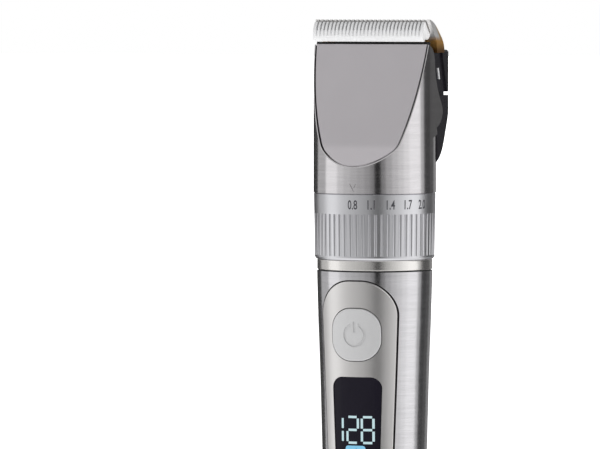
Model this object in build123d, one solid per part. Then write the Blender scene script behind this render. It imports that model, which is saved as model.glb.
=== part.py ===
from build123d import *
import math
import os

# A cordless clipper that stands on its bottom cap. +Z runs up the handle to the
# blades, -Y is the side with the button and the display, and X runs across.
# The origin is at the middle of the flat bottom. All sizes are in millimetres.

os.makedirs("parts", exist_ok=True)

# ---- handle: a turned steel sleeve that swells gently towards the head ----
SLEEVE_BOTTOM_Z = 6.0
SLEEVE_TOP_Z = 94.2
SLEEVE_BOTTOM_R = 17.1
SLEEVE_WAIST_Z = 34.6
SLEEVE_WAIST_R = 18.0
SLEEVE_HIP_Z = 63.0
SLEEVE_HIP_R = 18.75
SLEEVE_TOP_R = 19.77
SLEEVE_WALL = 1.2
CHASSIS_GAP = 0.1
CHASSIS_WALL = 1.4

# ---- control panel, button and display on the front of the handle ----
PANEL_TOP_Z = 91.1
PANEL_BOTTOM_Z = 12.0
PANEL_TOP_HALF = 13.9
PANEL_BOTTOM_HALF = 10.9
PANEL_TOP_CORNER = 11.5
PANEL_BOTTOM_CORNER = 8.0
PANEL_RISE = 0.45
PANEL_GAP = 0.45
PANEL_EDGE = 0.35
BUTTON_Z = 73.0
BUTTON_WIDE = 17.5
BUTTON_TALL = 17.8
BUTTON_CORNER = 7.3
BUTTON_RISE = 0.85
BUTTON_GAP = 0.3
BUTTON_TRAVEL = 0.5
BUTTON_EDGE = 0.3
BUTTON_FLANGE = 0.8
SYMBOL_R = 3.6
SYMBOL_LINE = 1.0
LENS_TOP_Z = 58.5
LENS_BOTTOM_Z = 19.8
LENS_TOP_HALF = 9.0
LENS_BOTTOM_HALF = 7.7
LENS_CORNER = 3.8
LENS_RISE = 0.1
DIGIT_BOTTOM_Z = 35.7
DIGIT_TALL = 9.6
DIGIT_WIDE = 4.7
DIGIT_PITCH = 5.3
DIGIT_STROKE = 0.8
ONE_X = -7.05
TWO_X = -1.3
ICON_X = -0.4
ICON_Z = 32.0
ICON_WIDE = 7.2
ICON_TALL = 6.2

# ---- electrics inside the handle ----
CELL_R = 9.1
CELL_LONG = 65.0
CELL_Y = 4.5
CELL_BOTTOM_Z = 11.2
BOARD_FRONT_Y = -11.4
BOARD_THICK = 1.2
BOARD_HALF = 8.2
BOARD_BOTTOM_Z = 8.5
BOARD_TOP_Z = 87.0
SOCKET_WIDE = 8.94
SOCKET_DEEP = 3.2
SOCKET_BOTTOM_Z = 0.8
SOCKET_TOP_Z = 9.8
SWITCH_SIDE = 6.0
SWITCH_TALL = 3.4
PLUNGER_R = 1.7
CAP_LIP = 2.0
CAP_SCREW_X = 9.0
CAP_SCREW_Y = 9.0

# ---- collar and cut-length ring ----
GASKET_TOP_Z = 94.6
COLLAR_TOP_Z = 98.2
COLLAR_R = 19.7
HUB_R = 17.42
HUB_TOP_Z = 100.2
RING_BORE_R = 17.5
RING_TOP_Z = 120.8
RING_TOP_R = 20.85
RING_BOTTOM_R = 20.5
RING_END_GAP = 0.1
KNURL_TOP_Z = 113.9
KNURL_COUNT = 60
KNURL_DEPTH = 0.45
KNURL_R = 0.62
RING_TURN = 72.0
RING_STEPS = 12
LIFT = 0.75
PEG_R = 0.9
PEG_Z = 106.0

# ---- motor and drive ----
FRAME_R = 15.6
FRAME_WALL = 1.4
MOTOR_R = 11.0
MOTOR_BOTTOM_Z = 102.0
MOTOR_TOP_Z = 132.0
SHAFT_R = 1.0
SHAFT_GAP = 0.05
CAM_R = 4.2
CAM_BOTTOM_Z = 143.0
CAM_TOP_Z = 151.0
CRANK = 1.1
CRANK_PIN_R = 0.9
CRANK_PIN_TOP_Z = 161.0

# ---- head shell: a cylinder with a leaning front face ----
HEAD_R = 21.0
HEAD_WALL = 1.4
HEAD_BOTTOM_Z = 120.9
HEAD_TOP_Z = 171.6
FACE_TOP_Y = -2.95
CREASE_Y = -15.4
CREASE_Z = 136.5
FACE_FOOT_Z = 129.7
CREASE_R = 9.0
PLATE_THICK = 1.3
PLATE_SINK = 0.03
PLATE_BOND = 0.25
SEAL_RISE = 0.75
PLATE_SEAM = 0.5
RIM = 0.3
MARK_DEPTH = 0.3
HEAD_FLOOR_Z = 129.5
WING_Y = 12.0

# ---- rear of the head: black housing and the clip-on cassette ----
REAR_Y = 21.6
REAR_HALF = 20.6
REAR_CORNER = 5.2
REAR_WALL = 1.6
RECESS = 0.6
HOUSING_BOTTOM_Z = 131.2
HOUSING_TOP_Z = 154.0
HOLDER_BOTTOM_Z = 155.2
HOLDER_TOP_Z = 169.6
SEAM = 0.15
HINGE_Y = 20.2
HINGE_Z = 154.8
KNUCKLE_R = 1.4
HINGE_PIN_R = 0.7
HINGE_GAP = 0.05
HOLDER_KNUCKLE_HALF = 7.3
HINGE_HALF = 13.0

# ---- blades: the cutting plane leans 45 degrees, down and back from the tips ----
TIP_Y = -2.6
TIP_Z = 180.0
BLADE_HALF = 20.8
FIXED_PITCH = 1.6
FIXED_SLOTS = 25
FIXED_SLOT_WIDE = 0.75
MOVING_PITCH = 1.6 * 5 / 6
MOVING_SLOTS = 29
MOVING_SLOT_WIDE = 0.6
MOVING_SETBACK = 0.8
MOVING_HALF = 20.0
FOOT_Z = 168.6
FOOT_INNER = 15.8
CARRIER_HALF = 13.0
STROKE = 1.1
STOPPED_AT = -0.9
BLADE_GAP = 0.03

FAR = 60.0


# ---- small shape makers ----

def cylinder(radius, low_z, high_z, x=0.0, y=0.0):
    """An upright cylinder between two heights."""
    return Pos(x, y, (low_z + high_z) / 2) * Cylinder(radius, high_z - low_z)


def tube(outer_r, inner_r, low_z, high_z):
    """An upright ring between two heights."""
    bore = cylinder(inner_r, low_z - 1, high_z + 1)
    return cylinder(outer_r, low_z, high_z) - bore


def block(low, high):
    """A box between two opposite corners."""
    size = [b - a for a, b in zip(low, high)]
    middle = [(a + b) / 2 for a, b in zip(low, high)]
    return Pos(*middle) * Box(*size)


def rod_x(radius, low_x, high_x, y, z):
    """A round rod that runs across the object."""
    return Pos((low_x + high_x) / 2, y, z) * Rot(0, 90, 0) * Cylinder(radius, high_x - low_x)


def rod_y(radius, low_y, high_y, x, z):
    """A round rod that runs from front to back."""
    return Pos(x, (low_y + high_y) / 2, z) * Rot(90, 0, 0) * Cylinder(radius, high_y - low_y)


def across(outline, low_x, high_x):
    """A side view (y, z) outline carried across from low_x to high_x."""
    corners = [(low_x, y, z) for y, z in outline]
    face = make_face(Polyline(*corners, close=True))
    return extrude(face, high_x - low_x, dir=(1, 0, 0))


def through_front(sketch, far=FAR):
    """A front view (x, z) sketch carried from the axis out through the front."""
    return extrude(Plane.XZ * sketch, far, dir=(0, -1, 0))


def both_sides(part):
    """A piece and its mirror image on the other side of the middle."""
    return [part, mirror(part, about=Plane.YZ)]


def one_part(shapes):
    """Separate solids kept together as one piece of the list."""
    return Compound(children=[solid for shape in shapes for solid in shape.solids()])


def write(name, shape):
    """Writes a piece to its STEP file."""
    export_step(shape, f"parts/{name}.step")


# ---- the handle's form ----

def handle_form(offset, low_z, high_z):
    """The handle's turned body, grown or shrunk by offset, between two heights."""
    slope = (SLEEVE_WAIST_R - SLEEVE_BOTTOM_R) / (SLEEVE_WAIST_Z - SLEEVE_BOTTOM_Z)
    stations = [
        (SLEEVE_BOTTOM_R - slope * 8.0, SLEEVE_BOTTOM_Z - 8.0),
        (SLEEVE_BOTTOM_R, SLEEVE_BOTTOM_Z),
        (SLEEVE_WAIST_R, SLEEVE_WAIST_Z),
        (SLEEVE_HIP_R, SLEEVE_HIP_Z),
        (SLEEVE_TOP_R, SLEEVE_TOP_Z),
        (SLEEVE_TOP_R + 0.05, SLEEVE_TOP_Z + 4.0),
    ]
    profile = [(radius + offset, 0, z) for radius, z in stations]
    side = Spline(*profile)
    close = Polyline(profile[-1], (0, 0, profile[-1][2]), (0, 0, profile[0][2]), profile[0])
    turned = revolve(make_face([side, close]), Axis.Z)
    return turned & block((-FAR, -FAR, low_z), (FAR, FAR, high_z))


def handle_layer(outer, inner, low_z, high_z):
    """The layer between two offsets of the handle's form."""
    return handle_form(outer, low_z, high_z) - handle_form(inner, low_z - 1, high_z + 1)


def tapered_outline(top_z, bottom_z, top_half, bottom_half, top_r, bottom_r, grow=0.0):
    """A tapering plate outline with round corners, grown all round by grow."""
    slope = (top_half - bottom_half) / (top_z - bottom_z)
    sideways = grow * math.hypot(1, slope)
    top = top_half + slope * grow + sideways
    bottom = bottom_half - slope * grow + sideways
    plate = Polygon(
        (-top, top_z + grow),
        (top, top_z + grow),
        (bottom, bottom_z - grow),
        (-bottom, bottom_z - grow),
        align=None,
    )
    plate = fillet(plate.vertices().sort_by(Axis.Y)[-2:], top_r + grow)
    return fillet(plate.vertices().sort_by(Axis.Y)[:2], bottom_r + grow)


def panel_outline(grow=0.0):
    return tapered_outline(
        PANEL_TOP_Z, PANEL_BOTTOM_Z, PANEL_TOP_HALF, PANEL_BOTTOM_HALF,
        PANEL_TOP_CORNER, PANEL_BOTTOM_CORNER, grow,
    )


def lens_outline(grow=0.0):
    return tapered_outline(
        LENS_TOP_Z, LENS_BOTTOM_Z, LENS_TOP_HALF, LENS_BOTTOM_HALF,
        LENS_CORNER, LENS_CORNER, grow,
    )


def button_outline(grow=0.0):
    corner = BUTTON_CORNER + grow
    shape = RectangleRounded(BUTTON_WIDE + 2 * grow, BUTTON_TALL + 2 * grow, corner)
    return Pos(0, BUTTON_Z) * shape


chassis_out = -SLEEVE_WALL - CHASSIS_GAP
chassis_in = chassis_out - CHASSIS_WALL
button_back = chassis_out - 0.05 - BUTTON_FLANGE

# handle_sleeve: turned steel tube with an opening for the control panel
sleeve = handle_layer(0, -SLEEVE_WALL, SLEEVE_BOTTOM_Z, SLEEVE_TOP_Z)
sleeve -= through_front(panel_outline(PANEL_GAP))
write("handle_sleeve", sleeve)

# chassis_front and chassis_rear: black plastic halves that slide into the sleeve
chassis_low = SLEEVE_BOTTOM_Z + CAP_LIP
chassis = handle_layer(chassis_out, chassis_in, chassis_low, SLEEVE_TOP_Z)
front_half = block((-FAR, -FAR, 0), (FAR, 0, FAR * 3))
rear_half = block((-FAR, 0, 0), (FAR, FAR, FAR * 3))
chassis_front = chassis & front_half
chassis_front -= through_front(button_outline(BUTTON_FLANGE + 0.4))
chassis_front -= through_front(lens_outline(-1.0))
write("chassis_front", chassis_front)

cell_top_z = CELL_BOTTOM_Z + CELL_LONG
chassis_rear = chassis & rear_half
for rib_z in (CELL_BOTTOM_Z + 8, CELL_BOTTOM_Z + 32, cell_top_z - 8):
    rib = handle_form(chassis_in + 0.2, rib_z, rib_z + 1.4) & rear_half
    chassis_rear += rib - cylinder(CELL_R + 0.1, rib_z - 1, rib_z + 3, y=CELL_Y)
end_plate = handle_form(chassis_in + 0.2, chassis_low, chassis_low + 2) & rear_half
chassis_rear += end_plate
for side in (-1, 1):
    chassis_rear -= cylinder(0.9, 0, 12, side * CAP_SCREW_X, CAP_SCREW_Y)
write("chassis_rear", chassis_rear)

# handle_gasket: rubber ring between the sleeve and the polished collar
write("handle_gasket", tube(COLLAR_R - 0.45, FRAME_R, SLEEVE_TOP_Z, GASKET_TOP_Z))

# control_panel: satin plate let into the sleeve, with the button and display holes
panel = handle_layer(PANEL_RISE, chassis_out, PANEL_BOTTOM_Z - 2, PANEL_TOP_Z + 2)
panel &= through_front(panel_outline())
panel_skin = panel.faces().filter_by(GeomType.REVOLUTION).sort_by(Axis.Y)[0]
panel = fillet(panel_skin.outer_wire().edges(), PANEL_EDGE)
panel -= through_front(button_outline(BUTTON_GAP))
panel -= through_front(lens_outline(0.05))
write("control_panel", panel)

# power_button: pillow-cornered cap with a flange behind the panel and a short stem
button_low = BUTTON_Z - BUTTON_TALL
button_high = BUTTON_Z + BUTTON_TALL
button = handle_layer(BUTTON_RISE, button_back, button_low, button_high)
button &= through_front(button_outline())
button_skin = button.faces().filter_by(GeomType.REVOLUTION).sort_by(Axis.Y)[0]
button = fillet(button_skin.outer_wire().edges(), BUTTON_EDGE)
flange = handle_layer(chassis_out - 0.05, button_back, button_low, button_high)
button += flange & through_front(button_outline(BUTTON_FLANGE))
switch_front_y = BOARD_FRONT_Y - SWITCH_TALL
plunger_front_y = switch_front_y - 1.2
button += rod_y(2.2, -(SLEEVE_HIP_R - 1.6), plunger_front_y, 0, BUTTON_Z)
circle = Circle(SYMBOL_R + SYMBOL_LINE / 2) - Circle(SYMBOL_R - SYMBOL_LINE / 2)
circle -= Pos(0, SYMBOL_R) * Rectangle(2.6, 3.2)
bar = Pos(0, SYMBOL_R * 0.75) * Rectangle(SYMBOL_LINE, SYMBOL_R)
symbol = Pos(0, BUTTON_Z) * (circle + bar)
skin = handle_layer(BUTTON_RISE + 1, BUTTON_RISE - 0.3, button_low, button_high)
button -= skin & through_front(symbol)
write("power_button", button)

# tact_switch and switch_plunger: the switch on the board under the button
half = SWITCH_SIDE / 2
switch = block(
    (-half, switch_front_y, BUTTON_Z - half),
    (half, BOARD_FRONT_Y, BUTTON_Z + half),
)
plunger_back_y = switch_front_y + 0.9
switch -= rod_y(
    PLUNGER_R + 0.05, switch_front_y - 1, plunger_back_y + BUTTON_TRAVEL + 0.1, 0, BUTTON_Z,
)
write("tact_switch", switch)
write("switch_plunger", rod_y(PLUNGER_R, plunger_front_y, plunger_back_y, 0, BUTTON_Z))


# display_lens, display_digits and display_icon: dark window with lit segments in it
def segments(x, lit):
    """The lit bars of one seven-segment digit whose middle is at x."""
    w = DIGIT_WIDE / 2 - DIGIT_STROKE / 2
    h = DIGIT_TALL / 2 - DIGIT_STROKE / 2
    long_x = DIGIT_WIDE - DIGIT_STROKE - 0.85
    long_z = DIGIT_TALL / 2 - DIGIT_STROKE / 2 - 1.0
    places = {
        "top": (0, h, long_x, DIGIT_STROKE),
        "middle": (0, 0, long_x, DIGIT_STROKE),
        "bottom": (0, -h, long_x, DIGIT_STROKE),
        "top_left": (-w, h / 2, DIGIT_STROKE, long_z),
        "top_right": (w, h / 2, DIGIT_STROKE, long_z),
        "bottom_left": (-w, -h / 2, DIGIT_STROKE, long_z),
        "bottom_right": (w, -h / 2, DIGIT_STROKE, long_z),
    }
    middle_z = DIGIT_BOTTOM_Z + DIGIT_TALL / 2
    return [
        Pos(x + places[name][0], middle_z + places[name][1])
        * Rectangle(places[name][2], places[name][3])
        for name in lit
    ]


one = ["top_right", "bottom_right"]
two = ["top", "top_right", "middle", "bottom_left", "bottom"]
eight = two + ["top_left", "bottom_right"]
bars = segments(ONE_X, one)
bars += segments(TWO_X, two)
bars += segments(TWO_X + DIGIT_PITCH, eight)
icon = Pos(ICON_X, ICON_Z) * RectangleRounded(ICON_WIDE, ICON_TALL, 1.0)
icon += Pos(ICON_X, ICON_Z - ICON_TALL / 2 - 0.4) * Rectangle(ICON_WIDE * 0.4, 1.2)
bolt = Polygon(
    (0.5, 2.3), (-1.6, -0.4), (-0.2, -0.4), (-0.7, -2.3), (1.5, 0.5), (0.1, 0.5), align=None,
)
icon -= Pos(ICON_X, ICON_Z) * bolt
lens_body = handle_layer(LENS_RISE, chassis_out, LENS_BOTTOM_Z - 1, LENS_TOP_Z + 1)
lens_lit = handle_layer(LENS_RISE + 0.02, chassis_out, LENS_BOTTOM_Z - 1, LENS_TOP_Z + 1)
digit_solids = [lens_lit & through_front(bar_shape) for bar_shape in bars]
icon_solid = lens_lit & through_front(icon)
lens = lens_body & through_front(lens_outline())
for lit_bar in bars:
    lens -= through_front(lit_bar)
lens -= through_front(icon)
write("display_lens", lens)
write("display_digits", one_part(digit_solids))
write("display_icon", icon_solid)

# main_board, board_chips, display_module: the electronics behind the panel
board_back_y = BOARD_FRONT_Y + BOARD_THICK
board = block((-BOARD_HALF, BOARD_FRONT_Y, BOARD_BOTTOM_Z), (BOARD_HALF, board_back_y, BOARD_TOP_Z))
write("main_board", board)
chips = [
    block((-3, board_back_y, 46), (3, board_back_y + 1.6, 52)),
    block((-6.5, board_back_y, 60), (-2.5, board_back_y + 1.4, 64)),
    block((2.0, board_back_y, 60), (6.5, board_back_y + 2.0, 65)),
    block((-4.5, board_back_y, 24), (4.5, board_back_y + 1.6, 30)),
    cylinder(2.0, 80, 86, 5.5, board_back_y + 2.0),
]
write("board_chips", one_part(chips))
module = block((-5.0, -14.0, LENS_BOTTOM_Z + 5), (5.0, BOARD_FRONT_Y, LENS_TOP_Z - 4))
write("display_module", module)

# battery_cell and battery_tabs: one round cell and its two welded strips
write("battery_cell", cylinder(CELL_R, CELL_BOTTOM_Z, cell_top_z, y=CELL_Y))
tabs = []
for low, high in ((CELL_BOTTOM_Z - 0.25, CELL_BOTTOM_Z), (cell_top_z, cell_top_z + 0.25)):
    tabs.append(block((-3, board_back_y, low), (3, CELL_Y + 4, high)))
write("battery_tabs", one_part(tabs))

# bottom_cap, cap_screws, charging_socket: the closed lower end
cap = handle_form(0, 0, SLEEVE_BOTTOM_Z)
cap = fillet(cap.edges().group_by(Axis.Z)[0], 1.8)
lip = handle_layer(chassis_out, chassis_in, SLEEVE_BOTTOM_Z, SLEEVE_BOTTOM_Z + CAP_LIP)
cap += lip
cap -= cylinder(13.2, 2.4, SLEEVE_BOTTOM_Z + 1)
socket_y = board_back_y + SOCKET_DEEP / 2
mouth = Pos(0, socket_y) * RectangleRounded(SOCKET_WIDE + 0.2, SOCKET_DEEP + 0.2, 1.6)
cap -= extrude(mouth, 12)
for side in (-1, 1):
    x = side * CAP_SCREW_X
    cap += cylinder(3.0, 1.0, SLEEVE_BOTTOM_Z + CAP_LIP, x, CAP_SCREW_Y)
    cap -= cylinder(1.15, -1, 12, x, CAP_SCREW_Y)
    cap -= cylinder(2.1, -1, 2.0, x, CAP_SCREW_Y)
write("bottom_cap", cap)

cap_screws = []
for side in (-1, 1):
    x = side * CAP_SCREW_X
    screw = cylinder(2.0, 0.6, 2.0, x, CAP_SCREW_Y) + cylinder(0.9, 2.0, 9.8, x, CAP_SCREW_Y)
    cross = Pos(x, CAP_SCREW_Y, 0.6) * (Box(2.4, 0.5, 1.4) + Box(0.5, 2.4, 1.4))
    cap_screws.append(screw - cross)
write("cap_screws", one_part(cap_screws))

can = Pos(0, socket_y) * RectangleRounded(SOCKET_WIDE, SOCKET_DEEP, 1.5)
hollow = Pos(0, socket_y) * RectangleRounded(SOCKET_WIDE - 0.6, SOCKET_DEEP - 0.6, 1.2)
socket = Pos(0, 0, SOCKET_BOTTOM_Z) * extrude(can, SOCKET_TOP_Z - SOCKET_BOTTOM_Z)
socket -= Pos(0, 0, SOCKET_BOTTOM_Z - 1) * extrude(hollow, SOCKET_TOP_Z - SOCKET_BOTTOM_Z - 1)
tongue_top = SOCKET_TOP_Z - 1.5
socket += block((-3.3, socket_y - 0.35, SOCKET_BOTTOM_Z + 0.8), (3.3, socket_y + 0.35, tongue_top))
write("charging_socket", socket)

# collar_ring: polished ring with the hub that the length ring turns on
collar = cylinder(COLLAR_R, GASKET_TOP_Z, COLLAR_TOP_Z) + cylinder(HUB_R, COLLAR_TOP_Z, HUB_TOP_Z)
collar -= cylinder(FRAME_R, 80, 130)
collar = fillet(collar.edges().filter_by(GeomType.CIRCLE).sort_by(SortBy.RADIUS)[-2:], 0.4)
DETENT_R = 0.9
detent_at = (0, RING_BORE_R + 1.1, COLLAR_TOP_Z - 0.4)
collar -= cylinder(DETENT_R + 0.05, GASKET_TOP_Z + 0.4, COLLAR_TOP_Z + 1, y=detent_at[1])
write("collar_ring", collar)
ball = Pos(*detent_at) * Sphere(DETENT_R)
write("detent_ball", ball)
coils = []
for turn in range(4):
    coil_z = GASKET_TOP_Z + 0.6 + turn * 0.42
    coils.append(Pos(0, detent_at[1], coil_z) * Torus(0.65, 0.18))
write("detent_spring", one_part(coils))

# adjusting_ring: smooth numbered band above, ridged grip below
ring_low = COLLAR_TOP_Z + RING_END_GAP
band = Polyline(
    (RING_BORE_R, 0, ring_low),
    (RING_BOTTOM_R - 0.5, 0, ring_low),
    (RING_BOTTOM_R, 0, ring_low + 0.7),
    (RING_TOP_R, 0, RING_TOP_Z - 0.3),
    (RING_TOP_R - 0.3, 0, RING_TOP_Z),
    (RING_BORE_R, 0, RING_TOP_Z),
    close=True,
)
ring = revolve(make_face(band), Axis.Z)
knurls = []
for index in range(KNURL_COUNT):
    angle = (index + 0.5) * 360 / KNURL_COUNT
    middle_r = (RING_TOP_R + RING_BOTTOM_R) / 2 + KNURL_R - KNURL_DEPTH
    groove = cylinder(KNURL_R, ring_low + 1.3, KNURL_TOP_Z, x=middle_r)
    knurls.append(Rot(0, 0, angle) * groove)
ring -= knurls
ring -= Pos(0, 0, detent_at[2]) * Torus(detent_at[1], DETENT_R + 0.06)
step_angle = RING_TURN / RING_STEPS
steps = []
for peg_angle in (0, 180):
    for index in range(-1, RING_STEPS + 2):
        drop = LIFT * index / RING_STEPS
        slot = Pos(RING_BORE_R, 0, PEG_Z - drop) * Box(3.0, 2.2, 2 * PEG_R + 0.24)
        steps.append(Rot(0, 0, peg_angle + index * step_angle) * slot)
ring -= steps
write("adjusting_ring", ring)

# length_lifter: sleeve inside the ring whose pegs ride in the ring's sloping grooves
lifter = tube(RING_BORE_R - 0.2, FRAME_R + 0.1, 101.0, 112.0)
for side in (-1, 1):
    x_in = FRAME_R + 0.25
    x_out = RING_BORE_R - 0.35
    arm = block((x_in, -2.6, 111.0), (x_out, 2.6, 150.0))
    peg = rod_x(PEG_R, x_in + 0.3, RING_BORE_R + 1.3, 0, PEG_Z)
    if side < 0:
        arm = mirror(arm, about=Plane.YZ)
        peg = mirror(peg, about=Plane.YZ)
    lifter += arm + peg
write("length_lifter", lifter)

# motor_frame: inner tube that joins handle and head and carries the motor
frame = tube(FRAME_R, FRAME_R - FRAME_WALL, 86.5, MOTOR_TOP_Z)
frame += tube(SLEEVE_TOP_R + chassis_in - 0.3, FRAME_R - FRAME_WALL, 90.0, SLEEVE_TOP_Z)
frame += tube(FRAME_R - 0.5, 6.0, MOTOR_BOTTOM_Z - 1.6, MOTOR_BOTTOM_Z)
frame += tube(FRAME_R - 0.5, MOTOR_R + 0.1, 120.0, 122.0)
write("motor_frame", frame)

# motor_can, motor_plate, motor_screws, motor_shaft: the drive motor
can = cylinder(MOTOR_R, MOTOR_BOTTOM_Z, MOTOR_TOP_Z)
can = fillet(can.edges().filter_by(GeomType.CIRCLE), 0.8)
can += cylinder(3.0, MOTOR_TOP_Z - 0.5, MOTOR_TOP_Z + 2.0)
can += cylinder(3.0, MOTOR_BOTTOM_Z - 1.5, MOTOR_BOTTOM_Z + 0.5)
can -= cylinder(SHAFT_R + SHAFT_GAP, 90, 150)
for side in (-1, 1):
    can -= cylinder(0.95, MOTOR_TOP_Z - 3, MOTOR_TOP_Z + 1, side * 7.5)
write("motor_can", can)
plate = cylinder(FRAME_R - 0.1, MOTOR_TOP_Z, MOTOR_TOP_Z + 1.4)
plate -= cylinder(3.05, MOTOR_TOP_Z - 1, MOTOR_TOP_Z + 3)
for side in (-1, 1):
    plate -= cylinder(1.1, MOTOR_TOP_Z - 1, MOTOR_TOP_Z + 3, side * 7.5)
write("motor_plate", plate)
motor_screws = []
for side in (-1, 1):
    x = side * 7.5
    head = cylinder(1.8, MOTOR_TOP_Z + 1.4, MOTOR_TOP_Z + 2.6, x)
    motor_screws.append(head + cylinder(0.95, MOTOR_TOP_Z - 2.8, MOTOR_TOP_Z + 1.4, x))
write("motor_screws", one_part(motor_screws))
write("motor_shaft", cylinder(SHAFT_R, MOTOR_BOTTOM_Z - 2.5, CAM_TOP_Z - 1))

# eccentric_cam: nylon drum on the shaft with the offset crank pin
cam = cylinder(CAM_R, CAM_BOTTOM_Z, CAM_TOP_Z)
cam -= cylinder(SHAFT_R, CAM_BOTTOM_Z - 1, CAM_TOP_Z - 1)
cam += cylinder(CRANK_PIN_R, CAM_TOP_Z - 0.5, CRANK_PIN_TOP_Z, x=CRANK)
crank_turn = math.degrees(math.acos(STOPPED_AT / CRANK))
write("eccentric_cam", Rot(0, 0, crank_turn) * cam)

# head_frame: black cup under the head that the shell is pressed on
head_frame = tube(HEAD_R - HEAD_WALL, HEAD_R - HEAD_WALL - 1.6, HEAD_BOTTOM_Z + 0.3, HEAD_FLOOR_Z)
head_frame += tube(HEAD_R - HEAD_WALL, FRAME_R + 0.02, HEAD_FLOOR_Z - 2, HEAD_FLOOR_Z)
for side in (-1, 1):
    hole = block((FRAME_R, -3.0, 120), (RING_BORE_R, 3.0, 140))
    if side < 0:
        hole = mirror(hole, about=Plane.YZ)
    head_frame -= hole
write("head_frame", head_frame)

# ---- the head's outlines, seen from the side as (y, z) ----
face_slope = (CREASE_Y - FACE_TOP_Y) / (HEAD_TOP_Z - CREASE_Z)


def face_line(back):
    """The bent front face as a wire, moved back into the head by back."""
    top_extra = 4.0
    foot_slope = (-HEAD_R - CREASE_Y) / (CREASE_Z - FACE_FOOT_Z)
    foot_extra = 3.0
    points = [
        (0, FACE_TOP_Y - face_slope * top_extra + back, HEAD_TOP_Z + top_extra),
        (0, CREASE_Y + back, CREASE_Z),
        (0, -HEAD_R + foot_slope * foot_extra + back, FACE_FOOT_Z - foot_extra),
    ]
    return FilletPolyline(*points, radius=CREASE_R)


def in_front_of_face(back):
    """Everything ahead of the bent face, moved back by back."""
    line = face_line(back)
    first = line @ 0
    last = line @ 1
    ahead = Polyline(last, (0, -FAR, last.Z), (0, -FAR, first.Z), first)
    return extrude(make_face([line, ahead]), FAR, both=True, dir=(1, 0, 0))


def rear_zone(shift):
    """Everything behind the shell's rear edge, moved back by shift."""
    edge = Spline(
        (0, -1.0 + shift, 170.6),
        (0, 2.0 + shift, 167.2),
        (0, 2.7 + shift, 163.2),
        (0, 8.2 + shift, 152.4),
        (0, 10.4 + shift, 148.6),
        (0, 8.8 + shift, 145.6),
        (0, 4.3 + shift, 143.2),
    )
    last = edge @ 1
    first = edge @ 0
    around = Polyline(
        last,
        (0, 7.6 + shift, HOUSING_BOTTOM_Z),
        (0, FAR, HOUSING_BOTTOM_Z),
        (0, FAR, TIP_Z),
        (0, -3.4 + shift, TIP_Z),
        (0, -3.4 + shift, HEAD_TOP_Z),
        first,
    )
    return extrude(make_face([edge, around]), FAR, both=True, dir=(1, 0, 0))


def rear_form(shrink, low_z, high_z):
    """The rounded square rear of the head, drawn in below to meet the cylinder."""
    half = REAR_HALF - shrink
    back = REAR_Y - shrink
    plan = Pos(0, back - FAR / 2) * RectangleRounded(2 * half, FAR, REAR_CORNER - shrink)
    prism = Pos(0, 0, low_z) * extrude(plan, high_z - low_z)
    swell = Spline(
        (HEAD_R - shrink, 0, HOUSING_BOTTOM_Z - 0.2),
        (HEAD_R + 2.7 - shrink, 0, 136.5),
        (HEAD_R + 3.8 - shrink, 0, 140.4),
        (HEAD_R + 5.4 - shrink, 0, 146.0),
        (HEAD_R + 7.5 - shrink, 0, 156.0),
    )
    top = (HEAD_R + 7.5 - shrink, 0, TIP_Z)
    low = HOUSING_BOTTOM_Z - 0.2
    rest = Polyline(swell @ 1, top, (0, 0, TIP_Z), (0, 0, low), swell @ 0)
    bowl = revolve(make_face([swell, rest]), Axis.Z)
    return prism & bowl


# head_shell: brushed steel tube, cut by the leaning face in front and open behind
shell = tube(HEAD_R, HEAD_R - HEAD_WALL, HEAD_BOTTOM_Z, HEAD_TOP_Z)
wing_side = [(0, 139.5), (0, HEAD_TOP_Z), (WING_Y, HEAD_TOP_Z), (WING_Y, 142.5)]
for wing in both_sides(across(wing_side, HEAD_R - HEAD_WALL, HEAD_R)):
    shell += wing
shell -= in_front_of_face(0)
seat_r = HEAD_R - RIM
plate_back = PLATE_SINK + PLATE_THICK
seat = in_front_of_face(plate_back + PLATE_BOND) & cylinder(seat_r, 120, HEAD_TOP_Z + 5)
shell -= seat & block((-FAR, -FAR, FACE_FOOT_Z), (FAR, FAR, HEAD_TOP_Z + 5))
shell -= rear_zone(0)
mark = Pos(0, 123.0) * Polygon((-1.5, 1.3), (1.5, 1.3), (0, -1.4), align=None)
mark -= Pos(0, 123.0) * Polygon((-0.72, 1.4), (0.72, 1.4), (0, -0.1), align=None)
engraving = through_front(mark) - cylinder(HEAD_R - MARK_DEPTH, 110, 130)
shell -= engraving
write("head_shell", shell)

# front_plate and plate_bond: satin plate glued into the leaning face on black tape
plate_low = FACE_FOOT_Z + PLATE_SEAM
plate_high = HEAD_TOP_Z - 0.05
plate = in_front_of_face(plate_back) - in_front_of_face(PLATE_SINK)
plate &= cylinder(seat_r - PLATE_SEAM, plate_low, plate_high)
write("front_plate", plate)
bond = in_front_of_face(plate_back + PLATE_BOND) - in_front_of_face(plate_back)
bond &= cylinder(seat_r, FACE_FOOT_Z, HEAD_TOP_Z + SEAL_RISE)
write("plate_bond", bond)

# rear_housing: black cover behind the motor, with the hinge lugs at its top
housing = rear_form(0, HOUSING_BOTTOM_Z, HOUSING_TOP_Z)
housing -= rear_form(REAR_WALL, HOUSING_BOTTOM_Z - 0.1, HOUSING_TOP_Z + 1)
housing &= rear_zone(SEAM)
foot_r = HEAD_R - HEAD_WALL - 0.05
foot_ring = tube(foot_r, FRAME_R + 0.4, HEAD_FLOOR_Z, HOUSING_BOTTOM_Z + 1.2)
housing += foot_ring & block((-FAR, 8.2, 0), (FAR, FAR, FAR * 3))
lip_top_z = HOLDER_BOTTOM_Z - 0.1
lip = rear_form(REAR_WALL, HOUSING_TOP_Z - 3, lip_top_z)
lip -= rear_form(REAR_WALL + 1.0, HOUSING_TOP_Z - 4, lip_top_z + 1)
lip &= block((-FAR, 9.0, 0), (FAR, HINGE_Y - 0.9, FAR * 3)) & rear_zone(SEAM)
housing += lip
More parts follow.
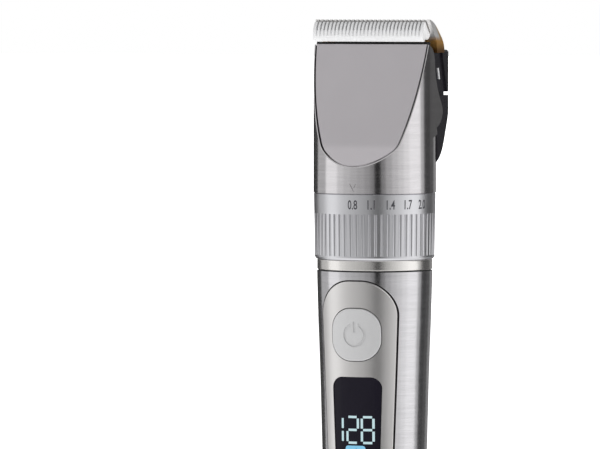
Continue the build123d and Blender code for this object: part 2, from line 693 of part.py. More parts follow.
hinge_room = block((-HINGE_HALF - 0.2, HINGE_Y - 1.8, HINGE_Z - 1.9), (HINGE_HALF + 0.2, FAR, 160))
housing -= hinge_room
lug_low = HOLDER_KNUCKLE_HALF + 0.1
for low_x, high_x in ((-HINGE_HALF, -lug_low), (lug_low, HINGE_HALF)):
    web = block((low_x, HINGE_Y - KNUCKLE_R, HINGE_Z - 4), (high_x, HINGE_Y + 0.6, HINGE_Z))
    housing += web + rod_x(KNUCKLE_R, low_x, high_x, HINGE_Y, HINGE_Z)
housing -= rod_x(HINGE_PIN_R, -HINGE_HALF - 1, HINGE_HALF + 1, HINGE_Y, HINGE_Z)
write("rear_housing", housing)
write("hinge_pin", rod_x(HINGE_PIN_R, -HINGE_HALF, HINGE_HALF, HINGE_Y, HINGE_Z))

# blade_holder: black cassette body, a U open to the front around the blade drive
holder = rear_form(0, HOLDER_BOTTOM_Z, HOLDER_TOP_Z)
holder &= rear_zone(SEAM)
top_edges = holder.edges().filter_by(lambda e: abs(e.center().Z - HOLDER_TOP_Z) < 0.01)
rear_top = [e for e in top_edges if e.center().Y > 12]
holder = fillet(rear_top, 1.0)
inner_half = HEAD_R - HEAD_WALL - 0.5
holder &= rear_zone(SEAM)
cheek = block((-inner_half, 1.0, HOLDER_BOTTOM_Z + 0.4), (inner_half, 14.0, FOOT_Z))
holder += cheek & rear_zone(SEAM)
holder += cheek & cylinder(HEAD_R - HEAD_WALL - 0.2, 150, 180)
room_half = CARRIER_HALF + STROKE + 0.5
holder -= block((-room_half, -FAR, 150), (room_half, 12.6, 190))
holder -= block((-BLADE_HALF - 1, -FAR, FOOT_Z), (BLADE_HALF + 1, 12.7, 190))
holder -= block((-room_half, 12.0, 150), (room_half, REAR_Y - 2.2, HOLDER_TOP_Z - 3))
holder -= block((-HINGE_HALF - 0.2, HINGE_Y - 1.9, 150), (HINGE_HALF + 0.2, FAR, HINGE_Z + 1.8))
knuckle_half = HOLDER_KNUCKLE_HALF
web = block(
    (-knuckle_half, HINGE_Y - 0.4, HINGE_Z),
    (knuckle_half, HINGE_Y + KNUCKLE_R, HINGE_Z + 2.4),
)
holder += web + rod_x(KNUCKLE_R, -knuckle_half, knuckle_half, HINGE_Y, HINGE_Z)
holder -= rod_x(HINGE_PIN_R + HINGE_GAP, -HINGE_HALF, HINGE_HALF, HINGE_Y, HINGE_Z)
recess_side = [(-4, 171), (10.9, 171), (11.7, 167), (16.2, HOLDER_BOTTOM_Z - 1), (-4, 150)]
recess = across(recess_side, REAR_HALF - RECESS, HEAD_R + 1)
for side_recess in both_sides(recess):
    holder -= side_recess
screw_x = (room_half + inner_half) / 2
screw_y = 9.0
clip_slot = [(7.3, 163.4), (8.3, 163.4), (9.6, 159.6), (8.6, 159.6)]
for side in (-1, 1):
    holder -= cylinder(1.0, 150, 180, side * screw_x, screw_y)
    holder -= cylinder(1.9, 150, HOLDER_BOTTOM_Z + 6, side * screw_x, screw_y)
    clip_box = across(clip_slot, REAR_HALF - RECESS - 0.5, HEAD_R + 1)
    if side < 0:
        clip_box = mirror(clip_box, about=Plane.YZ)
    holder -= clip_box
write("blade_holder", holder)

# blade_screws: two screws from below into the feet of the fixed blade
blade_screws = []
head_z = HOLDER_BOTTOM_Z + 6
for side in (-1, 1):
    x = side * screw_x
    screw = cylinder(1.8, head_z - 1.4, head_z, x, screw_y)
    blade_screws.append(screw + cylinder(0.95, head_z, FOOT_Z + 2.6, x, screw_y))
write("blade_screws", one_part(blade_screws))

# cassette_clips: bright spring tabs set into the holder's sides
clip = across(clip_slot, REAR_HALF - RECESS - 0.5, REAR_HALF - RECESS + 0.3)
write("cassette_clips", one_part(both_sides(clip)))


# fixed_blade: curved comb, thin and bright at the tips, with two feet behind
def on_plane(distance):
    """The point on the cutting plane at a distance from the tip, as (y, z)."""
    step = distance / math.sqrt(2)
    return TIP_Y + step, TIP_Z - step


skin_line = Spline(
    (-BLADE_HALF, TIP_Y + 0.5, TIP_Z),
    (-BLADE_HALF, 0.4, 179.45),
    (-BLADE_HALF, 3.4, 178.2),
    (-BLADE_HALF, 8.2, 175.0),
    (-BLADE_HALF, 11.8, 171.8),
    (-BLADE_HALF, 12.6, 168.6),
)
comb_edge = Polyline(
    (-BLADE_HALF, 12.6, FOOT_Z),
    (-BLADE_HALF, TIP_Y + TIP_Z - FOOT_Z, FOOT_Z),
    (-BLADE_HALF, TIP_Y + 0.3, TIP_Z - 0.3),
    (-BLADE_HALF, TIP_Y + 0.5, TIP_Z),
)
fixed = extrude(make_face([skin_line, comb_edge]), 2 * BLADE_HALF, dir=(1, 0, 0))
foot = across([(4.6, 172.8), (5.2, FOOT_Z), (12.6, FOOT_Z), (9.0, 170.0)], FOOT_INNER, BLADE_HALF)
for foot_part in both_sides(foot):
    fixed += foot_part
tooth_root = on_plane(6.5)
fixed_slots = []
for index in range(FIXED_SLOTS):
    x = (index - (FIXED_SLOTS - 1) / 2) * FIXED_PITCH
    outline = [
        (on_plane(-2)[0] - 2, on_plane(-2)[1] - 2),
        (tooth_root[0] - 2, tooth_root[1] - 2),
        (tooth_root[0] + 4, tooth_root[1] + 4),
        (on_plane(-2)[0] + 4, on_plane(-2)[1] + 4),
    ]
    fixed_slots.append(across(outline, x - FIXED_SLOT_WIDE / 2, x + FIXED_SLOT_WIDE / 2))
fixed -= fixed_slots
for side in (-1, 1):
    fixed -= cylinder(0.95, 160, FOOT_Z + 2.8, side * screw_x, screw_y)
write("fixed_blade", fixed)

# moving_blade: white ceramic comb in front of the cutting plane
gap = BLADE_GAP * math.sqrt(2)
tip_y = TIP_Y + MOVING_SETBACK - gap
tip_z = TIP_Z - MOVING_SETBACK
heel_y = 2.9
heel_z = TIP_Z + TIP_Y - heel_y - gap
block_bottom_z = HEAD_TOP_Z + LIFT + 0.1
under_z = block_bottom_z + SEAL_RISE
front_line = Spline(
    (-MOVING_HALF, tip_y - 0.55, tip_z),
    (-MOVING_HALF, -4.0, 177.4),
    (-MOVING_HALF, -4.6, 175.2),
    (-MOVING_HALF, -4.4, 173.6),
    (-MOVING_HALF, -3.6, block_bottom_z),
)
back_line = Polyline(
    (-MOVING_HALF, -3.6, block_bottom_z),
    (-MOVING_HALF, -2.7, block_bottom_z),
    (-MOVING_HALF, -2.5, under_z),
    (-MOVING_HALF, 0.6, under_z),
    (-MOVING_HALF, heel_y, heel_z),
    (-MOVING_HALF, tip_y, tip_z),
    (-MOVING_HALF, tip_y - 0.55, tip_z),
)
moving = extrude(make_face([front_line, back_line]), 2 * MOVING_HALF, dir=(1, 0, 0))
groove_floor = [(-6.5, 173.4), (-4.7, 174.0), (-3.8, 176.3), (0.2, 177.6), (3.0, 178.4)]
groove_side = groove_floor + [(3.0, TIP_Z + 2), (-6.5, TIP_Z + 2)]
moving_slots = []
for index in range(MOVING_SLOTS):
    x = (index - (MOVING_SLOTS - 1) / 2) * MOVING_PITCH
    moving_slots.append(across(groove_side, x - MOVING_SLOT_WIDE / 2, x + MOVING_SLOT_WIDE / 2))
moving -= moving_slots
write("moving_blade", Pos(STOPPED_AT, 0, 0) * moving)

# blade_carrier: the ceramic comb's drive block, with a fork for the crank pin
carrier_back = on_plane(15.7)
head = across(
    [
        (-0.6, under_z),
        (0.6, under_z),
        (heel_y, heel_z),
        (carrier_back[0], carrier_back[1] - gap),
        (carrier_back[0] - 2.0, carrier_back[1] - gap - 2.0),
        (3.0, 167.2),
        (-0.6, 167.2),
    ],
    -CARRIER_HALF,
    CARRIER_HALF,
)
slot_half = CRANK + CRANK_PIN_R + STROKE + 0.1
fork = block((-slot_half - 1.4, -4.2, 157.0), (slot_half + 1.4, 4.8, 163.4))
fork += block((-slot_half - 1.4, -0.6, 163.0), (slot_half + 1.4, 3.0, 168.0))
fork -= block((-slot_half, -3.1, 150.0), (slot_half, 3.6, 162.0))
write("blade_carrier", Pos(STOPPED_AT, 0, 0) * (head + fork))

# guide_bar: slides along the cutting plane and holds the carrier's rear edge
near = on_plane(15.75)
away = on_plane(18.2)
deep = 2.4 / math.sqrt(2)
guide = across(
    [
        (near[0], near[1] - gap),
        (away[0], away[1] - gap),
        (away[0] - deep, away[1] - gap - deep),
        (near[0] - deep, near[1] - gap - deep),
    ],
    -CARRIER_HALF,
    CARRIER_HALF,
)
write("guide_bar", guide)

# tension_spring: two wire coils and the legs that press the carrier to the fixed blade
spring = []
for side in (-1, 1):
    coil = Torus(1.9, 0.4)
    for turn in range(3):
        x = side * (7.5 + turn * 0.81)
        spring.append(Pos(x, 14.0, 160.5) * Rot(0, 90, 0) * coil)
write("tension_spring", one_part(spring))
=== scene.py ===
import math

import bmesh
import bpy
from mathutils import Matrix, Vector


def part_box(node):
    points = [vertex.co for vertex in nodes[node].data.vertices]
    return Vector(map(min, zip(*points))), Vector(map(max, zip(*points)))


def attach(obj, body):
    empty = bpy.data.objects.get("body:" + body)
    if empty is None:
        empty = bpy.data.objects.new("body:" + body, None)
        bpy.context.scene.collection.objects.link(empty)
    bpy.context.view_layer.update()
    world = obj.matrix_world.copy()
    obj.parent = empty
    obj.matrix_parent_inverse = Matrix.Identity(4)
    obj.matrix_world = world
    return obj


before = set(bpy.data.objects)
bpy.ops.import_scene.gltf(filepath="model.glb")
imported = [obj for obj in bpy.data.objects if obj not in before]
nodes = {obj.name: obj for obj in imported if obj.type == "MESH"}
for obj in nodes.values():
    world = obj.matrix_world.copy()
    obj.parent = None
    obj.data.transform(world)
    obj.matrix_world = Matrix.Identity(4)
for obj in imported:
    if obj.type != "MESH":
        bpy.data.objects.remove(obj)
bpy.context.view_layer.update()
scene = bpy.context.scene
MM = 0.001

# ---- Camera -----------------------------------------------------------------
# A long lens a little above the middle of the clipper, turned to show its
# front and right side. The clipper stands right of the middle of the picture.
VIEW_TURN = math.radians(20.9)
VIEW_RISE = math.radians(2.2)
VIEW_DISTANCE = 2.124
VIEW_HEIGHT = 0.1098
VIEW_ASIDE = 0.0256

sideways = Vector((math.cos(VIEW_TURN), math.sin(VIEW_TURN), 0))
towards = Vector((
    math.sin(VIEW_TURN) * math.cos(VIEW_RISE),
    -math.cos(VIEW_TURN) * math.cos(VIEW_RISE),
    math.sin(VIEW_RISE),
))
aim = Vector((0, 0, VIEW_HEIGHT)) - sideways * VIEW_ASIDE
camera_data = bpy.data.cameras.new("camera")
camera_data.lens = 372
camera_data.sensor_width = 36
camera_data.clip_end = 60
camera = bpy.data.objects.new("camera", camera_data)
camera.location = aim + towards * VIEW_DISTANCE
camera.rotation_euler = towards.to_track_quat("Z", "Y").to_euler()
scene.collection.objects.link(camera)
scene.camera = camera


# ---- Shader tools, first used by the floor ----------------------------------
# A wire stands for one output socket, so that sums on wires add Math nodes.
# A finish is one material, and its node method adds any other kind of node.


class Wire:
    def __init__(self, finish, socket):
        self.finish = finish
        self.socket = socket

    def sum(self, operation, other):
        values = {0: self, 1: other}
        return self.finish.node("ShaderNodeMath", {"operation": operation}, values)

    def __add__(self, other):
        return self.sum("ADD", other)

    def __sub__(self, other):
        return self.sum("SUBTRACT", other)

    def __mul__(self, other):
        return self.sum("MULTIPLY", other)

    def ramp(self, low, high):
        """Runs from 0 at low to 1 at high, and stays between them outside."""
        settings = {"interpolation_type": "SMOOTHSTEP"}
        inputs = {"Value": self, "From Min": low, "From Max": high}
        return self.finish.node("ShaderNodeMapRange", settings, inputs)


class Finish:
    def __init__(self, name, **constants):
        self.material = bpy.data.materials.new(name)
        self.material.use_nodes = True
        self.tree = self.material.node_tree
        self.shader = self.tree.nodes["Principled BSDF"]
        self.feed(**constants)

    def node(self, kind, settings=None, inputs=None, output=0):
        made = self.tree.nodes.new(kind)
        for name, value in (settings or {}).items():
            setattr(made, name, value)
        for name, value in (inputs or {}).items():
            self.join(made.inputs[name], value)
        return Wire(self, made.outputs[output])

    def join(self, socket, value):
        if isinstance(value, Wire):
            self.tree.links.new(value.socket, socket)
        elif isinstance(value, tuple) and len(value) == 3 and len(socket.default_value) == 4:
            socket.default_value = (*value, 1)
        else:
            socket.default_value = value

    def feed(self, **inputs):
        """Sets or links sockets of the main shader, named with _ for a space."""
        for name, value in inputs.items():
            self.join(self.shader.inputs[name.replace("_", " ")], value)

    def place(self, scale):
        """The point on the piece in metres, stretched by scale."""
        point = self.node("ShaderNodeTexCoord", output="Object")
        return self.node("ShaderNodeMapping", None, {"Vector": point, "Scale": scale})

    def axis(self, letter):
        """One coordinate of the point on the piece, in millimetres."""
        point = self.place((1 / MM, 1 / MM, 1 / MM))
        return self.node("ShaderNodeSeparateXYZ", None, {0: point}, letter)

    def noise(self, scale, detail=2.0, roughness=0.5):
        """Even noise from 0 to 1, stretched by scale along each axis."""
        inputs = {"Vector": self.place(scale), "Scale": 1.0, "Detail": detail, "Roughness": roughness}
        return self.node("ShaderNodeTexNoise", None, inputs)

    def mix(self, factor, first, second):
        """A colour between first and second."""
        settings = {"data_type": "RGBA"}
        return self.node("ShaderNodeMix", settings, {0: factor, 6: first, 7: second}, 2)

    def bump(self, height, strength, distance):
        """Raises the surface by height, over a distance in metres."""
        inputs = {"Height": height, "Strength": strength, "Distance": distance}
        self.feed(Normal=self.node("ShaderNodeBump", None, inputs))


def dress(finish, *names):
    """Gives a finish to CAD nodes."""
    for name in names:
        mesh = nodes[name].data
        mesh.materials.clear()
        mesh.materials.append(finish.material)


def link(name, mesh, finish):
    """Puts a finished mesh in the scene at the origin."""
    piece = bpy.data.objects.new(name, mesh)
    scene.collection.objects.link(piece)
    mesh.materials.append(finish.material)
    return piece


# ---- Floor ------------------------------------------------------------------
# A wide pale floor that the clipper stands on, soft white like studio paper
# that is lit from below until it shows no edge.
FLOOR_HALF = 14.0

paper = Finish("paper", Roughness=0.9)
paper_grain = paper.noise((40, 40, 40), 3)
paper.feed(Base_Color=paper.mix(paper_grain, (0.92, 0.92, 0.92), (0.95, 0.95, 0.95)))
paper.feed(Emission_Color=(1, 1, 1), Emission_Strength=1.0)
shape = bmesh.new()
bmesh.ops.create_grid(shape, x_segments=2, y_segments=2, size=FLOOR_HALF)
floor_mesh = bpy.data.meshes.new("floor")
shape.to_mesh(floor_mesh)
shape.free()
floor = link("floor", floor_mesh, paper)
floor.visible_glossy = False

# ---- Studio light -----------------------------------------------------------
# Curved paper walls stand all round the clipper, each lit to its own strength,
# with a dark gap beside the camera and dark cloth behind for the metal's edges.
WALL_REACH = 1.5
WALL_LOW = -0.9
WALL_HIGH = 2.6
WALL_STEP = 6
DARK_CLOTH = 0.1
CEILING_STRENGTH = 0.62


def lit_paper(name, strength, weave_shade):
    """Paper that gives light, with a faint weave that dims it to weave_shade."""
    lit_side = Finish(name, Base_Color=(0.01, 0.01, 0.01), Roughness=1.0)
    weave = lit_side.noise((1.5, 1.5, 1.5), 1)
    lit_side.feed(Emission_Color=lit_side.mix(weave, (weave_shade,) * 3, (1, 1, 1)))
    lit_side.feed(Emission_Strength=strength)
    return lit_side


def stage_unseen(name, mesh, finish):
    """Stages a light that the camera looks through and that casts no shadow."""
    piece = link(name, mesh, finish)
    piece.visible_camera = False
    piece.visible_shadow = False


def wall(name, start, end, strength):
    """A curved lit wall between two turns from the camera."""
    weave_shade = 1.0 if strength > DARK_CLOTH else 0.9
    made = bmesh.new()
    count = max(2, round((end - start) / WALL_STEP) + 1)
    rim = []
    for index in range(count):
        turn = VIEW_TURN + math.radians(start + (end - start) * index / (count - 1))
        x = math.sin(turn) * WALL_REACH
        y = -math.cos(turn) * WALL_REACH
        rim.append((made.verts.new((x, y, WALL_LOW)), made.verts.new((x, y, WALL_HIGH))))
    for near, far in zip(rim, rim[1:]):
        made.faces.new((near[0], far[0], far[1], near[1]))
    mesh = bpy.data.meshes.new(name)
    made.to_mesh(mesh)
    made.free()
    stage_unseen(name, mesh, lit_paper(name, strength, weave_shade))


# Turn from the camera in degrees where each wall ends, and its strength.
WALLS = (
    (-136, 0.0), (-106, 0.50), (-76, 1.0), (-62, 0.72), (-48, 0.60), (-34, 0.52), (-20, 0.45),
    (-9, 0.36), (-1, 0.26), (11, 0.0), (20, 0.25), (32, 0.46), (44, 0.62), (56, 0.76), (68, 0.92),
    (96, 1.08), (106, 0.50), (126, 0.05), (145, 0.09), (162, 0.28), (224, 0.04),
)
first_turn = WALLS[0][0]
for (start, _), (end, strength) in zip(WALLS, WALLS[1:]):
    wall(f"wall_{end - first_turn}", start, end, strength)

# A paper ceiling over the walls, pale grey, for the faces that lean back.
shape = bmesh.new()
bmesh.ops.create_grid(shape, x_segments=1, y_segments=1, size=WALL_REACH)
bmesh.ops.translate(shape, vec=(0, 0, WALL_HIGH), verts=shape.verts)
ceiling_mesh = bpy.data.meshes.new("ceiling")
shape.to_mesh(ceiling_mesh)
shape.free()
stage_unseen("ceiling", ceiling_mesh, lit_paper("ceiling", CEILING_STRENGTH, 0.96))

world = bpy.data.worlds.new("studio")
world.use_nodes = True
world.node_tree.nodes["Background"].inputs["Color"].default_value = (1, 1, 1, 1)
world.node_tree.nodes["Background"].inputs["Strength"].default_value = 1.0
scene.world = world
scene.view_settings.view_transform = "Standard"

# ---- Head shell and handle sleeve -------------------------------------------
# Drawn steel tubes, turned and brushed round their axis with a fine grit, so
# faint rings run round them and the light is drawn out up and down.


def turned_steel(name, colour, roughness):
    """Steel brushed round the axis."""
    steel = Finish(name, Metallic=1.0)
    fine = steel.noise((160, 160, 9000), 2, 0.6)
    broad = steel.noise((25, 25, 900), 2, 0.6)
    lines = fine * 0.6 + broad * 0.4
    dull = tuple(channel * 0.86 for channel in colour)
    steel.feed(Base_Color=steel.mix(lines.ramp(0.3, 0.7), dull, colour))
    steel.feed(Roughness=lines * 0.14 + (roughness - 0.07))
    steel.bump(lines, 0.12, 0.00004)
    return steel


shell_steel = turned_steel("shell_steel", (0.74, 0.72, 0.735), 0.15)
sleeve_steel = turned_steel("sleeve_steel", (0.74, 0.73, 0.75), 0.17)
dress(shell_steel, "head_shell")
dress(sleeve_steel, "handle_sleeve")

# ---- Front plate and control panel ------------------------------------------
# Steel plates let into the shell and the sleeve, bead blasted to a satin
# finish that is a little warmer than the brushed tube.


def blasted_steel(name, dull, bright, roughness):
    """Steel with the fine even grain left by glass beads."""
    steel = Finish(name, Metallic=1.0)
    blast = steel.noise((5200, 5200, 5200), 2, 0.7)
    cloud = steel.noise((60, 60, 60), 2)
    steel.feed(Base_Color=steel.mix(cloud, dull, bright))
    steel.feed(Roughness=blast * 0.1 + roughness)
    steel.bump(blast, 0.10, 0.00003)
    return steel


plate_steel = blasted_steel("plate_steel", (0.66, 0.63, 0.655), (0.72, 0.69, 0.715), 0.30)
panel_steel = blasted_steel("panel_steel", (0.76, 0.745, 0.735), (0.82, 0.805, 0.795), 0.30)
dress(plate_steel, "front_plate")
dress(panel_steel, "control_panel")

# ---- Cut-length ring --------------------------------------------------------
# Machined aluminium with a satin anodised skin and upright grip ridges. It
# turns on the hub under it.
ring_metal = Finish("ring_metal", Metallic=1.0)
ring_grain = ring_metal.noise((3000, 3000, 3000), 2, 0.7)
ring_metal.feed(Base_Color=ring_metal.mix(ring_grain, (0.68, 0.68, 0.705), (0.76, 0.76, 0.785)))
ring_metal.feed(Roughness=ring_grain * 0.1 + 0.26)
ring_metal.bump(ring_grain, 0.08, 0.00003)
dress(ring_metal, "adjusting_ring")

# The lengths in millimetres are printed on the smooth band, from the mark on
# the shell towards the right, 18 degrees apart.
LENGTHS = ("0.8", "1.1", "1.4", "1.7", "2.0")
LENGTH_FIRST = math.radians(-1.2)
LENGTH_STEP = math.radians(18)
FIGURE_TALL = 3.1 * MM
FIGURE_LOW = 5.1 * MM
FIGURE_SQUEEZE = 0.66
FIGURE_BOLD = 0.012
PRINT_THICK = 0.03 * MM
BAND_TAPER = 0.35 / 21.5

ink = Finish("grey_ink", Roughness=0.6)
ink_spread = ink.noise((2500, 2500, 2500), 2)
ink.feed(Base_Color=ink.mix(ink_spread, (0.035, 0.035, 0.045), (0.07, 0.07, 0.08)))
ring_low, ring_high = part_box("adjusting_ring")


def printed_figure(name, words, turn):
    """One printed length, bent round the band at a turn from the front."""
    curve = bpy.data.curves.new(name, "FONT")
    curve.body = words
    curve.align_x = "CENTER"
    curve.size = 1.0
    curve.offset = FIGURE_BOLD
    curve.resolution_u = 3
    writing = bpy.data.objects.new(name + "_text", curve)
    scene.collection.objects.link(writing)
    bpy.context.view_layer.update()
    flat = bpy.data.meshes.new_from_object(writing)
    bpy.data.objects.remove(writing)
    made = bmesh.new()
    made.from_mesh(flat)
    tall = max(v.co.y for v in made.verts)
    scale = FIGURE_TALL / tall
    bmesh.ops.scale(made, vec=(scale * FIGURE_SQUEEZE, scale, 1), verts=made.verts)
    bmesh.ops.remove_doubles(made, verts=made.verts, dist=0.005 * MM)
    solid = bmesh.ops.extrude_face_region(made, geom=made.faces[:])
    raised = [item for item in solid["geom"] if isinstance(item, bmesh.types.BMVert)]
    bmesh.ops.translate(made, vec=(0, 0, 1), verts=raised)
    for vert in made.verts:
        height = ring_high.z - FIGURE_LOW + vert.co.y
        skin = ring_high.x - (ring_high.z - height) * BAND_TAPER
        radius = skin + (PRINT_THICK if vert.co.z > 0.5 else -PRINT_THICK)
        angle = turn + vert.co.x / skin
        vert.co = (radius * math.sin(angle), -radius * math.cos(angle), height)
    bmesh.ops.recalc_face_normals(made, faces=made.faces)
    mesh = bpy.data.meshes.new(name)
    made.to_mesh(mesh)
    made.free()
    return link(name, mesh, ink)


for number, length in enumerate(LENGTHS):
    figure = printed_figure(f"length_figure_{number + 1}", length, LENGTH_FIRST + number * LENGTH_STEP)
    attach(figure, "ring")

# ---- Polished collar --------------------------------------------------------
# A narrow steel ring between the cut-length ring and the handle, turned and
# polished bright.
polish = Finish("polished_steel", Metallic=1.0)
wipe = polish.noise((300, 300, 5000), 2)
polish.feed(Base_Color=polish.mix(wipe, (0.82, 0.80, 0.775), (0.90, 0.88, 0.855)))
polish.feed(Roughness=wipe * 0.06 + 0.20)
dress(polish, "collar_ring")

# ---- Power button -----------------------------------------------------------
# A moulded cap with a matte silver paint, held behind the panel by its flange.
# The power mark is sunk in its face.
paint = Finish("silver_paint", Metallic=0.35)
flake = paint.noise((6000, 6000, 6000), 2, 0.8)
paint.feed(Base_Color=paint.mix(flake, (0.58, 0.58, 0.585), (0.66, 0.66, 0.665)))
paint.feed(Roughness=flake * 0.12 + 0.42)
paint.bump(flake, 0.06, 0.00003)
dress(paint, "power_button")

# ---- Display ----------------------------------------------------------------
# A smoked window moulded in clear plastic, with the segments and the charge
# sign lit in it.
smoke = Finish("smoked_window", Specular_IOR_Level=0.08)
smear = smoke.noise((90, 90, 90), 3)
smoke.feed(Base_Color=smoke.mix(smear, (0.010, 0.009, 0.014), (0.016, 0.014, 0.022)))
smoke.feed(Roughness=smear * 0.08 + 0.06)
dress(smoke, "display_lens")

lit = Finish("lit_segment", Roughness=0.4, Emission_Strength=0.75)
glow = lit.noise((900, 900, 900), 1)
lit.feed(Base_Color=(0.02, 0.03, 0.03))
lit.feed(Emission_Color=lit.mix(glow, (0.60, 0.86, 0.92), (0.76, 0.96, 1.0)))
dress(lit, "display_digits")

charge = Finish("lit_sign", Roughness=0.4, Emission_Strength=0.8)
charge_glow = charge.noise((700, 700, 700), 1)
charge.feed(Base_Color=(0.01, 0.03, 0.04))
charge.feed(Emission_Color=charge.mix(charge_glow, (0.20, 0.58, 0.86), (0.30, 0.70, 0.96)))
dress(charge, "display_icon")

# ---- Black shells -----------------------------------------------------------
# The rear of the head, the cassette body and the bottom cap are moulded in
# glossy black with the faint waviness of a polished mould.
gloss = Finish("gloss_black", Specular_IOR_Level=0.4)
wave = gloss.noise((250, 250, 250), 2)
gloss.feed(Base_Color=gloss.mix(wave, (0.006, 0.005, 0.008), (0.012, 0.011, 0.015)))
gloss.feed(Roughness=wave * 0.08 + 0.14)
gloss.bump(wave, 0.05, 0.0001)
dress(gloss, "rear_housing", "blade_holder", "bottom_cap")

# ---- Ceramic comb -----------------------------------------------------------
# Fired white ceramic, ground smooth, with a slight sheen. It sits on the
# carrier that drives it.
ceramic = Finish("white_ceramic", Coat_Weight=0.25, Coat_Roughness=0.15)
grind = ceramic.noise((400, 4000, 400), 2)
ceramic.feed(Base_Color=ceramic.mix(grind, (0.84, 0.84, 0.85), (0.90, 0.90, 0.905)))
ceramic.feed(Roughness=grind * 0.1 + 0.32)
ceramic.bump(grind, 0.04, 0.00003)
dress(ceramic, "moving_blade")

# ---- Fixed comb -------------------------------------------------------------
# Tool steel with a gold coating, ground bright again towards the tips, with painted shade on the gold
# of the lower body, and screwed to the cassette body by its two feet.
# Heights in millimetres between which the gold fades down into painted shade, the
# heights where it gives way to steel, and the range of y + z over which the gold of the back edge
# begins.
GOLD_PAINTED_SHADE = (169.4, 173.2)
GROUND_STEEL = (173.2, 175.4)
GOLD_EDGE = (181.0, 182.2)

coating = Finish("gold_coating", Metallic=0.8)
height = coating.axis("Z")
patch = coating.noise((350, 350, 350), 3)
grit = coating.noise((5000, 300, 300), 2)
bright = (height + patch * 1.6).ramp(*GROUND_STEEL)
# Painted shade: the gold is darkened towards the bottom, where the lower body lies in shadow.
low = (height + patch).ramp(*GOLD_PAINTED_SHADE)
gold = coating.mix(low, (0.16, 0.07, 0.015), (0.66, 0.36, 0.10))
back_edge = (coating.axis("Y") + height).ramp(*GOLD_EDGE)
steel_side = coating.mix(back_edge, (0.86, 0.85, 0.84), (0.72, 0.50, 0.24))
coating.feed(Base_Color=coating.mix(bright, gold, steel_side))
coating.feed(Roughness=grit * 0.16 + 0.34)
coating.bump(grit, 0.10, 0.00003)
dress(coating, "fixed_blade")

# ---- Small steel pieces -----------------------------------------------------
# Screws, springs, pins, the motor's shaft and its plate, in bright drawn,
# turned or stamped steel.
bright_steel = Finish("bright_steel", Metallic=1.0)
draw = bright_steel.noise((900, 900, 900), 3)
bright_steel.feed(Base_Color=bright_steel.mix(draw, (0.62, 0.62, 0.63), (0.78, 0.78, 0.79)))
bright_steel.feed(Roughness=draw * 0.2 + 0.18)
dress(
    bright_steel, "blade_screws", "tension_spring", "hinge_pin", "motor_plate",
    "motor_screws", "motor_shaft", "cap_screws", "detent_ball", "detent_spring",
)

# ---- Cassette spring tabs ---------------------------------------------------
# Small pressed steel tabs at the cassette's sides, tumbled, and coloured near white as a
# painted highlight for the glint on them. They stand in slots cut in the black body.
tab_steel_painted_glint = Finish("tumbled_steel_painted_glint", Metallic=0.35)
tumble = tab_steel_painted_glint.noise((1800, 1800, 1800), 2)
# Painted highlight: the near-white base colour stands in for the glint seen on these tabs.
tab_steel_painted_glint.feed(Base_Color=tab_steel_painted_glint.mix(tumble, (0.80, 0.80, 0.82), (0.92, 0.92, 0.93)))
tab_steel_painted_glint.feed(Roughness=tumble * 0.15 + 0.38)
dress(tab_steel_painted_glint, "cassette_clips")

# ---- Nickel pieces ----------------------------------------------------------
# The motor can, the cell's strips and the charging inlet are pressed from
# sheet and nickel plated.
nickel = Finish("nickel_plate", Metallic=1.0)
plating = nickel.noise((500, 500, 500), 3)
nickel.feed(Base_Color=nickel.mix(plating, (0.58, 0.56, 0.52), (0.70, 0.68, 0.64)))
nickel.feed(Roughness=plating * 0.15 + 0.22)
dress(nickel, "motor_can", "battery_tabs", "charging_socket")

# ---- Inner mouldings --------------------------------------------------------
# Frames, chassis halves and the comb's guide, moulded in plain black plastic
# with a sparked texture.
moulding = Finish("inner_moulding")
spark = moulding.noise((3500, 3500, 3500), 2)
moulding.feed(Base_Color=moulding.mix(spark, (0.018, 0.018, 0.020), (0.030, 0.030, 0.033)))
moulding.feed(Roughness=spark * 0.15 + 0.50)
moulding.bump(spark, 0.15, 0.00004)
dress(moulding, "chassis_front", "chassis_rear", "motor_frame", "head_frame", "guide_bar")

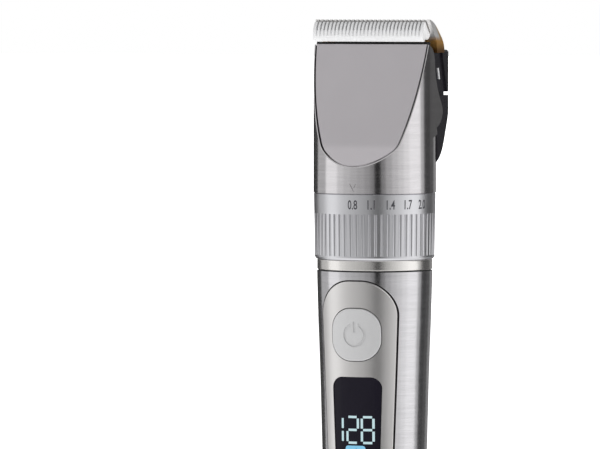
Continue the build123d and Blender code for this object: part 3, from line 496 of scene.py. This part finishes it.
# ---- White nylon ------------------------------------------------------------
# The sliding and driving pieces are moulded in natural nylon, slightly
# see-through at thin edges.
nylon = Finish("natural_nylon", Subsurface_Weight=0.1)
milk = nylon.noise((800, 800, 800), 2)
nylon.feed(Base_Color=nylon.mix(milk, (0.66, 0.65, 0.60), (0.74, 0.73, 0.68)))
nylon.feed(Roughness=milk * 0.1 + 0.40)
dress(nylon, "blade_carrier", "eccentric_cam", "length_lifter", "switch_plunger")

# ---- Gasket and plate tape --------------------------------------------------
# A thin black ring between the sleeve and the collar, and the black tape that
# holds the front plate, which ends in a lip under the ceramic comb.
rubber = Finish("black_rubber")
dust = rubber.noise((1500, 1500, 1500), 3)
rubber.feed(Base_Color=rubber.mix(dust, (0.012, 0.012, 0.012), (0.03, 0.03, 0.03)))
rubber.feed(Roughness=dust * 0.2 + 0.65)
dress(rubber, "handle_gasket", "plate_bond")

# ---- Board, chips and cell --------------------------------------------------
# A green circuit board with paler blocks under its mask, black chips soldered
# to it, and a cell in blue shrink wrap.
mask = Finish("green_board")
traces = mask.node("ShaderNodeTexBrick", None, {"Vector": mask.place((1, 1, 1)), "Scale": 420.0})
mask.feed(Base_Color=mask.mix(traces, (0.015, 0.10, 0.045), (0.03, 0.20, 0.09)))
mask.feed(Roughness=mask.noise((900, 900, 900)) * 0.1 + 0.3)
dress(mask, "main_board")
chip = Finish("black_chip")
chip_grain = chip.noise((3000, 3000, 3000), 2)
chip.feed(Base_Color=chip.mix(chip_grain, (0.015, 0.015, 0.016), (0.035, 0.035, 0.036)))
chip.feed(Roughness=chip_grain * 0.2 + 0.45)
dress(chip, "board_chips", "tact_switch", "display_module")
wrap = Finish("cell_wrap", Coat_Weight=0.3)
crease = wrap.noise((200, 200, 60), 3)
wrap.feed(Base_Color=wrap.mix(crease, (0.03, 0.12, 0.38), (0.05, 0.18, 0.50)))
wrap.feed(Roughness=crease * 0.15 + 0.25)
wrap.bump(crease, 0.1, 0.0002)
dress(wrap, "battery_cell")
